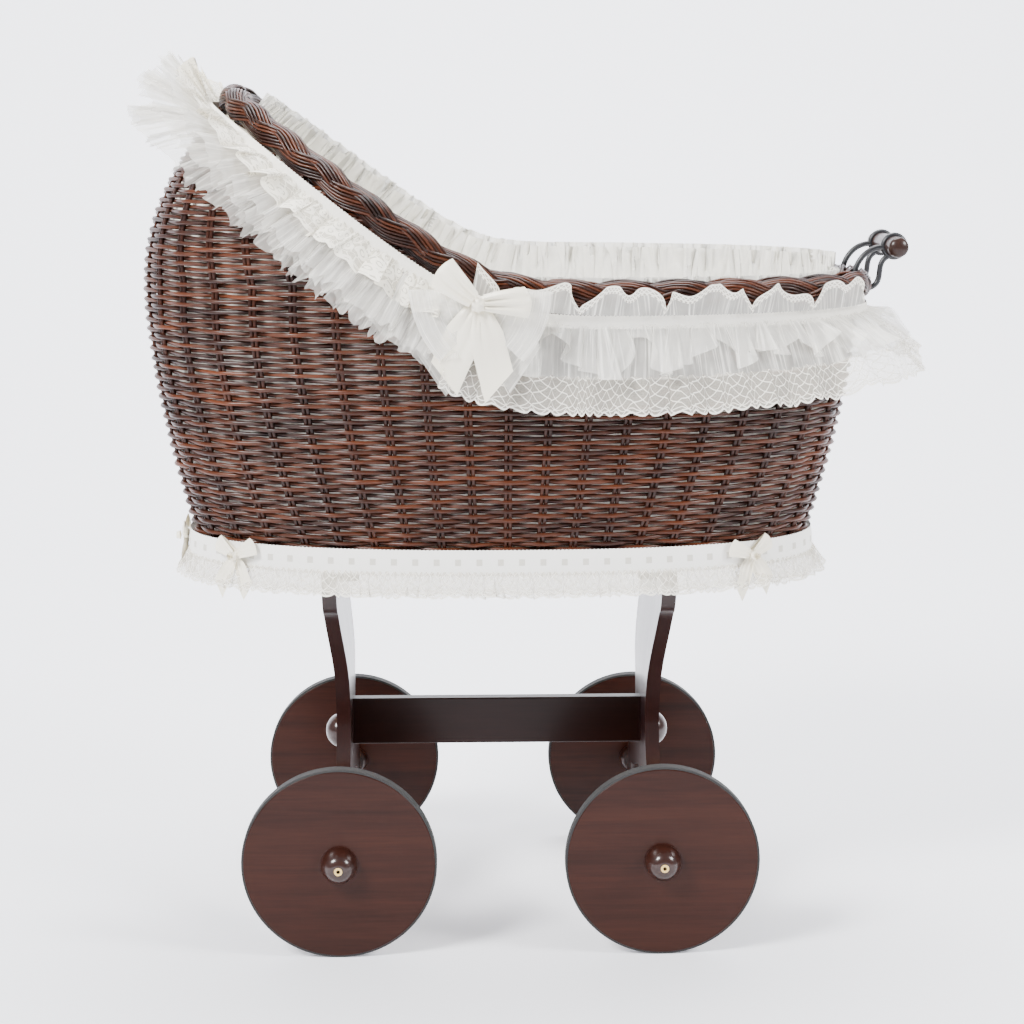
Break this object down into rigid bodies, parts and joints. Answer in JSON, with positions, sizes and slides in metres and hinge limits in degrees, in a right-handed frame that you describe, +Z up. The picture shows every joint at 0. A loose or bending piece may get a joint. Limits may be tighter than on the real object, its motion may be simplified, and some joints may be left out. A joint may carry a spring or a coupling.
{
  "type": "doll stroller",
  "caption": "Wicker doll pram with a slanted hood, gathered lace frills and satin bows, on shaped wooden end boards with solid wooden wheels and a turned push handle.",
  "frame": {"origin": "on the floor, below the middle of the overall length and width", "axes": "+X from the hood end towards the foot end and the push handle, +Y across the pram, +Z up"},
  "size_m": [0.6674, 0.409, 0.724],
  "materials": {
    "frame_wood": "dark mahogany stain, semi-gloss lacquer",
    "wheel_wood": "mahogany stain, satin lacquer",
    "turned_wood": "mahogany stain, gloss lacquer",
    "grip_wood": "dark stain, worn satin lacquer",
    "plain_wood": "unfinished birch",
    "stained_willow": "mahogany stain, gloss lacquer",
    "rubber_band": "matt black",
    "brass": "polished, slightly dulled",
    "steel": "zinc plated",
    "black_wire": "satin black",
    "cotton": "matt cream cotton",
    "tape": "cream woven tape with picot edges",
    "lace": "cream lace",
    "tulle": "sheer off-white tulle and organza",
    "satin": "pale cream satin ribbon"
  },
  "bodies": {
    "root": {"axle_pins": "steel", "axle_push_nuts": "steel", "base_board": "plain_wood", "basket_wall": "stained_willow", "bolt_caps": "turned_wood", "bow_far": "satin", "bow_near": "satin", "braid_rim": "stained_willow", "cleat_foot": "frame_wood", "cleat_head": "frame_wood", "cleat_screws": "steel", "end_board_foot": "frame_wood", "end_board_head": "frame_wood", "foot_lace_border": "lace", "foot_lace_heading": "lace", "foot_organza_frill": "tulle", "handle_bracket_far": "black_wire", "handle_bracket_near": "black_wire", "hood_lace_flounce": "lace", "hood_tulle_frill": "tulle", "lining": "cotton", "lining_frill": "tulle", "mattress": "cotton", "rail_dowels": "plain_wood", "rim_tape": "tape", "skirt_bows": "satin", "skirt_lace_frill": "lace", "skirt_rosettes": "satin", "skirt_tape": "tape", "stretcher_bolts": "steel", "stretcher_rail": "frame_wood", "wheel_spacers": "turned_wood"},
    "wheel_body_foot_far": {"hub_bush_foot_far": "brass", "hub_cap_foot_far": "turned_wood", "hub_eyelet_foot_far": "brass", "tyre_foot_far": "rubber_band", "wheel_foot_far": "wheel_wood"},
    "wheel_body_foot_near": {"hub_bush_foot_near": "brass", "hub_cap_foot_near": "turned_wood", "hub_eyelet_foot_near": "brass", "tyre_foot_near": "rubber_band", "wheel_foot_near": "wheel_wood"},
    "wheel_body_head_far": {"hub_bush_head_far": "brass", "hub_cap_head_far": "turned_wood", "hub_eyelet_head_far": "brass", "tyre_head_far": "rubber_band", "wheel_head_far": "wheel_wood"},
    "wheel_body_head_near": {"hub_bush_head_near": "brass", "hub_cap_head_near": "turned_wood", "hub_eyelet_head_near": "brass", "tyre_head_near": "rubber_band", "wheel_head_near": "wheel_wood"},
    "grip_body": {"handle_grip": "grip_wood"}
  },
  "joints": [
    {"name": "spin_foot_far", "type": "hinge", "parent": "root", "child": "wheel_body_foot_far", "pos_m": [0.094, 0.152, 0.08], "axis": [0, 1, 0], "continuous": true},
    {"name": "spin_foot_near", "type": "hinge", "parent": "root", "child": "wheel_body_foot_near", "pos_m": [0.094, -0.152, 0.08], "axis": [0, 1, 0], "continuous": true},
    {"name": "spin_head_far", "type": "hinge", "parent": "root", "child": "wheel_body_head_far", "pos_m": [-0.171, 0.152, 0.08], "axis": [0, 1, 0], "continuous": true},
    {"name": "spin_head_near", "type": "hinge", "parent": "root", "child": "wheel_body_head_near", "pos_m": [-0.171, -0.152, 0.08], "axis": [0, 1, 0], "continuous": true},
    {"name": "grip_roll", "type": "hinge", "parent": "root", "child": "grip_body", "pos_m": [0.2955, 0, 0.574], "axis": [0, 1, 0], "continuous": true}
  ]
}
